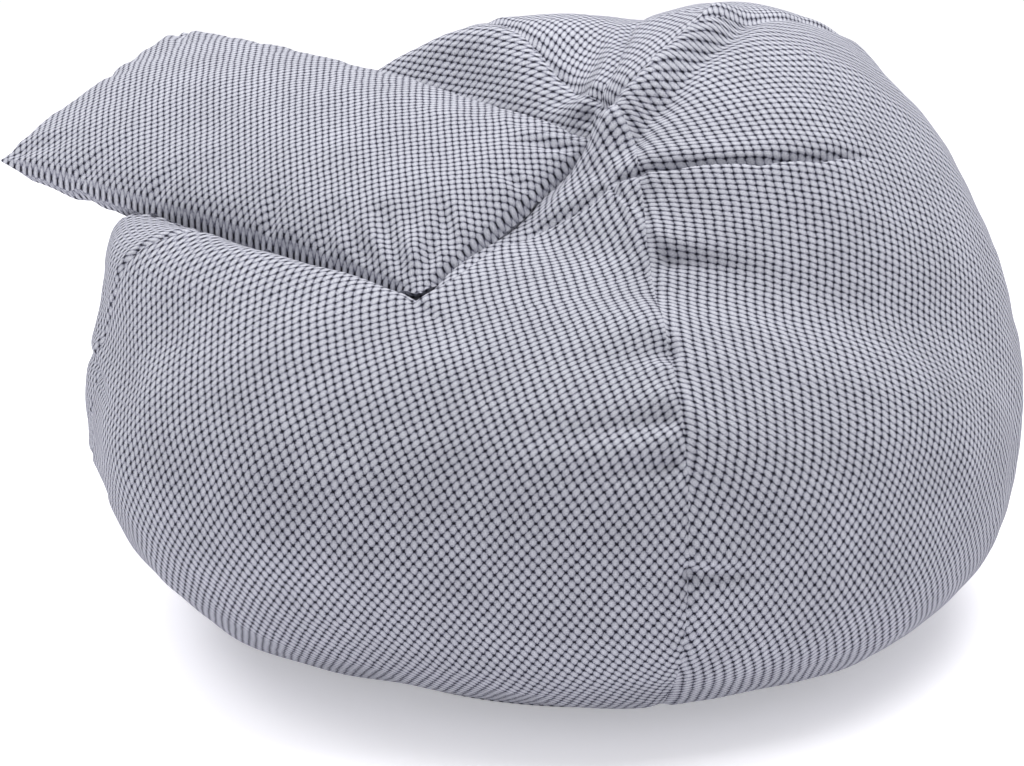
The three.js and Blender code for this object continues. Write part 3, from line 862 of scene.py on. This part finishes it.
from_dip = ((points[:, 0] + 62) / 85) ** 2 + ((points[:, 1] + 62) / 44) ** 2
press -= 9.0 * np.exp(-from_dip) * (points[:, 2] > 0)
points[:, 2] += face * np.minimum(press, PILLOW_CROWN - np.abs(points[:, 2]))
place = np.array(PILLOW_PLACE)
placed = points @ place[:3, :3].T + place[:3, 3]
for name, number, side in (("pillow_cover_front", top_number, 1), ("pillow_cover_back", under_number, -1)):
    grid = placed[number]
    weave = flat_points[number][..., :2] * np.array([1, side]) * MM
    grid = finer(grid, 2 * PILLOW_COLUMNS + 1, 2 * PILLOW_ROWS + 1)
    weave = finer(weave, 2 * PILLOW_COLUMNS + 1, 2 * PILLOW_ROWS + 1)
    if side > 0:
        grid = grid[::-1]
        weave = weave[::-1]
    half_cover = grid_mesh(name + "_cloth", grid, weave)
    half_cover.data.materials.append(cover_cloth)
    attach(half_cover, "pillow")
    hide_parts(name)

# ---------------------------------------------------------------------------------------------
# Pillow case and fibre: a plain cotton inner cushion in two halves sewn at the edge, stuffed with
# teased polyester fibre. Both follow the inside of the cover.
def inner_form(inset, sag):
    """The cover's own form drawn in by an even share all round."""
    length_share = 1 - 2 * inset / PILLOW_LENGTH
    width_share = 1 - 2 * inset / PILLOW_WIDTH
    crown_share = 1 - inset * sag / PILLOW_CROWN
    return points * np.array([length_share, width_share, crown_share])


case_cloth = plain_cloth("cotton_ticking", (0.83, 0.82, 0.80), 0.0014)
placed = inner_form(9.0, 0.55) @ place[:3, :3].T + place[:3, 3]
for name, number, side in (("pillow_case_front", top_number, 1), ("pillow_case_back", under_number, -1)):
    grid = placed[number]
    weave = flat_points[number][..., :2] * MM
    case = grid_mesh(name + "_cloth", grid[::-1] if side > 0 else grid, weave)
    case.data.materials.append(case_cloth)
    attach(case, "pillow")
    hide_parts(name)

fibre_mesh = bpy.data.meshes.new("pillow_fibre_mass")
fluffed = inner_form(13.0, 0.7)
lift = np.clip(np.abs(fluffed[:, 2:3]) / 10, 0, 1)
tease = np.sign(fluffed[:, 2:3]) * 1.2 * wobble(fluffed, 22, 51)[..., None] * lift
fluffed = fluffed + np.array([0, 0, 1]) * tease
fluffed = fluffed @ place[:3, :3].T + place[:3, 3]
quads = np.concatenate([quads_of(top_number, False), quads_of(under_number, True)])
fibre_mesh.from_pydata((fluffed * MM).tolist(), [], quads.tolist())
fibre_mesh.polygons.foreach_set("use_smooth", np.ones(len(quads), bool))
fibre = bpy.data.objects.new("pillow_fibre_mass", fibre_mesh)
scene.collection.objects.link(fibre)


def fibre_material():
    """Teased white polyester fibre, streaked with soft strands."""
    m = bpy.data.materials.new("teased_fibre")
    m.use_nodes = True
    t = m.node_tree
    shader = t.nodes["Principled BSDF"]
    spot = t.nodes.new("ShaderNodeTexCoord")
    strand = t.nodes.new("ShaderNodeTexNoise")
    strand.inputs["Scale"].default_value = 180
    strand.inputs["Detail"].default_value = 6
    strand.inputs["Distortion"].default_value = 2.5
    t.links.new(spot.outputs["Object"], strand.inputs["Vector"])
    ramp = t.nodes.new("ShaderNodeValToRGB")
    ramp.color_ramp.elements[0].position = 0.35
    ramp.color_ramp.elements[0].color = (0.70, 0.70, 0.69, 1)
    ramp.color_ramp.elements[1].position = 0.62
    ramp.color_ramp.elements[1].color = (0.93, 0.93, 0.92, 1)
    t.links.new(strand.outputs["Fac"], ramp.inputs[0])
    t.links.new(ramp.outputs[0], shader.inputs["Base Color"])
    bump = t.nodes.new("ShaderNodeBump")
    bump.inputs["Strength"].default_value = 0.7
    bump.inputs["Distance"].default_value = 0.0015
    t.links.new(strand.outputs["Fac"], bump.inputs["Height"])
    t.links.new(bump.outputs[0], shader.inputs["Normal"])
    shader.inputs["Roughness"].default_value = 0.95
    return m


fibre_mesh.materials.append(fibre_material())
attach(fibre, "pillow")
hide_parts("pillow_fibre_fill")

# ---------------------------------------------------------------------------------------------
# Base: a flat round of the cover cloth in two pieces with a zip between them, and the liner's own
# round floor above it. The gores' hems are sewn to the rim of the round.
BASE_ZIP_LINE = 110.0
BASE_EDGE = BASE_RADIUS - 1.5
BASE_HALF_SLOT = 2.5
BASE_HEIGHT = 0.6


def round_part(low, high, radius, height, columns=181, rows=61):
    """The part of a round between two lines across it, as a grid of points."""
    t = np.linspace(-1, 1, columns)
    y0 = np.clip(low, -radius, radius)
    y1 = np.clip(high, -radius, radius)
    f = 0.5 - 0.5 * np.cos(math.pi * np.linspace(0, 1, rows))
    y = y0 + (y1 - y0) * f
    half = np.sqrt(np.maximum(radius**2 - y**2, 1.0))
    x = t[:, None] * half[None, :]
    grid = np.stack([x, np.broadcast_to(y, x.shape), np.full(x.shape, height)], -1)
    return grid


for name, low, high in (
    ("base_panel_rear", BASE_ZIP_LINE + BASE_HALF_SLOT, BASE_EDGE),
    ("base_panel_front", -BASE_EDGE, BASE_ZIP_LINE - BASE_HALF_SLOT),
):
    grid = round_part(low, high, BASE_EDGE, BASE_HEIGHT)
    rim = np.hypot(grid[..., 0], grid[..., 1])
    grid[..., 2] += 1.2 * smooth_step(rim, 60, BASE_EDGE) * (0.5 + 0.5 * wobble(grid, 60, 61))
    under = grid_mesh(name + "_cloth", grid, grid[..., :2] * MM)
    under.data.materials.append(cover_cloth)
    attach(under, "bag")
    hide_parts(name)

# ---------------------------------------------------------------------------------------------
# Zips: dyed woven tapes folded in under the cloth, a nylon coil, a cast slider without a pull tab
# and a crimped stop at each end. One closes the base, one the liner and one the pillow cover.
def tape_material():
    """Dark woven zip tape with a diagonal thread."""
    m = bpy.data.materials.new("zip_tape_weave")
    m.use_nodes = True
    t = m.node_tree
    shader = t.nodes["Principled BSDF"]
    spot = t.nodes.new("ShaderNodeTexCoord")
    wave = t.nodes.new("ShaderNodeTexWave")
    wave.bands_direction = "DIAGONAL"
    wave.inputs["Scale"].default_value = 700
    t.links.new(spot.outputs["Object"], wave.inputs["Vector"])
    ramp = t.nodes.new("ShaderNodeValToRGB")
    ramp.color_ramp.elements[0].color = (0.20, 0.20, 0.24, 1)
    ramp.color_ramp.elements[1].color = (0.34, 0.34, 0.39, 1)
    t.links.new(wave.outputs["Fac"], ramp.inputs[0])
    t.links.new(ramp.outputs[0], shader.inputs["Base Color"])
    shader.inputs["Roughness"].default_value = 0.9
    return m


def coil_material():
    """Dark nylon coil, ribbed along its length."""
    m = bpy.data.materials.new("zip_coil_nylon")
    m.use_nodes = True
    t = m.node_tree
    shader = t.nodes["Principled BSDF"]
    spot = t.nodes.new("ShaderNodeTexCoord")
    wave = t.nodes.new("ShaderNodeTexWave")
    wave.bands_direction = "X"
    wave.inputs["Scale"].default_value = 200
    t.links.new(spot.outputs["Object"], wave.inputs["Vector"])
    ramp = t.nodes.new("ShaderNodeValToRGB")
    ramp.color_ramp.elements[0].color = (0.14, 0.14, 0.17, 1)
    ramp.color_ramp.elements[1].color = (0.31, 0.31, 0.35, 1)
    t.links.new(wave.outputs["Fac"], ramp.inputs[0])
    t.links.new(ramp.outputs[0], shader.inputs["Base Color"])
    bump = t.nodes.new("ShaderNodeBump")
    bump.inputs["Distance"].default_value = 0.0008
    t.links.new(wave.outputs["Fac"], bump.inputs["Height"])
    t.links.new(bump.outputs[0], shader.inputs["Normal"])
    shader.inputs["Roughness"].default_value = 0.45
    return m


def zip_metal_material():
    """Dull nickel of the sliders and stops, lightly scuffed."""
    m = bpy.data.materials.new("dull_nickel")
    m.use_nodes = True
    t = m.node_tree
    shader = t.nodes["Principled BSDF"]
    spot = t.nodes.new("ShaderNodeTexCoord")
    scuff = t.nodes.new("ShaderNodeTexNoise")
    scuff.inputs["Scale"].default_value = 900
    scuff.inputs["Detail"].default_value = 3
    t.links.new(spot.outputs["Object"], scuff.inputs["Vector"])
    ramp = t.nodes.new("ShaderNodeValToRGB")
    ramp.color_ramp.elements[0].color = (0.42, 0.42, 0.43, 1)
    ramp.color_ramp.elements[1].color = (0.60, 0.60, 0.61, 1)
    t.links.new(scuff.outputs["Fac"], ramp.inputs[0])
    t.links.new(ramp.outputs[0], shader.inputs["Base Color"])
    rough = value_node(t, "ShaderNodeMath", "MULTIPLY_ADD", scuff.outputs["Fac"], 0.25, 0.28)
    t.links.new(rough, shader.inputs["Roughness"])
    shader.inputs["Metallic"].default_value = 1.0
    return m


zip_finishes = {"tape": tape_material(), "coil": coil_material(), "metal": zip_metal_material()}
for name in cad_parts:
    kind = None
    if "_zip_" in name:
        kind = "tape" if "_tape_" in name else "coil" if name.endswith("_coil") else "metal"
    elif name == "liner_base":
        kind = "liner"
    if kind:
        node = bpy.data.objects[name]
        node.data.materials.clear()
        node.data.materials.append(liner_cloth if kind == "liner" else zip_finishes[kind])

# ---------------------------------------------------------------------------------------------
# Floor and light: a plain white sweep in a soft bright studio.
FLOOR_REACH = 30.0
floor_mesh = bpy.data.meshes.new("floor")
corners = [(FLOOR_REACH * x, FLOOR_REACH * y, 0) for x, y in ((-1, -1), (1, -1), (1, 1), (-1, 1))]
floor_mesh.from_pydata(corners, [], [(0, 1, 2, 3)])
floor = bpy.data.objects.new("floor", floor_mesh)
scene.collection.objects.link(floor)
floor.location.z = -0.0005
floor_paint = bpy.data.materials.new("floor_paint")
floor_paint.use_nodes = True
floor_shader = floor_paint.node_tree.nodes["Principled BSDF"]
floor_shader.inputs["Base Color"].default_value = (0.92, 0.91, 0.95, 1)
floor_shader.inputs["Roughness"].default_value = 0.95
floor_shader.inputs["Specular IOR Level"].default_value = 0.0
floor_shader.inputs["Emission Color"].default_value = (1, 1, 1, 1)
floor_shader.inputs["Emission Strength"].default_value = 0.3
floor_mesh.materials.append(floor_paint)

world = bpy.data.worlds.new("studio")
scene.world = world
world.use_nodes = True
world.node_tree.nodes["Background"].inputs[0].default_value = (1, 1, 1, 1)
world.node_tree.nodes["Background"].inputs[1].default_value = 0.62


LIT_POINT = (0, 0, 0.3)


def softbox(name, place, size, power):
    """One square area light that faces the bag."""
    light = bpy.data.lights.new(name, "AREA")
    light.size = size
    light.energy = power
    lamp = bpy.data.objects.new(name, light)
    scene.collection.objects.link(lamp)
    lamp.location = place
    lamp.rotation_mode = "QUATERNION"
    lamp.rotation_quaternion = (Vector(LIT_POINT) - Vector(place)).to_track_quat("-Z", "Y")


softbox("left_softbox", (-1.7, -0.9, 2.3), 1.5, 42)
softbox("top_softbox", (0.55, 0.75, 2.7), 1.8, 62)
scene.view_settings.view_transform = "Standard"

camera_data = bpy.data.cameras.new("camera")
camera = bpy.data.objects.new("camera", camera_data)
scene.collection.objects.link(camera)
scene.camera = camera
AZIMUTH = math.radians(40)
ELEVATION = math.radians(18)
AIM = Vector((-0.0631, -0.0399, 0.235))
CAMERA_AWAY = 3.0
LENS = 99.2
back = Vector(
    (math.sin(AZIMUTH) * math.cos(ELEVATION), -math.cos(AZIMUTH) * math.cos(ELEVATION), math.sin(ELEVATION))
)
camera.location = AIM + back * CAMERA_AWAY
camera.rotation_mode = "QUATERNION"
camera.rotation_quaternion = (-back).to_track_quat("-Z", "Y")
camera_data.lens = LENS
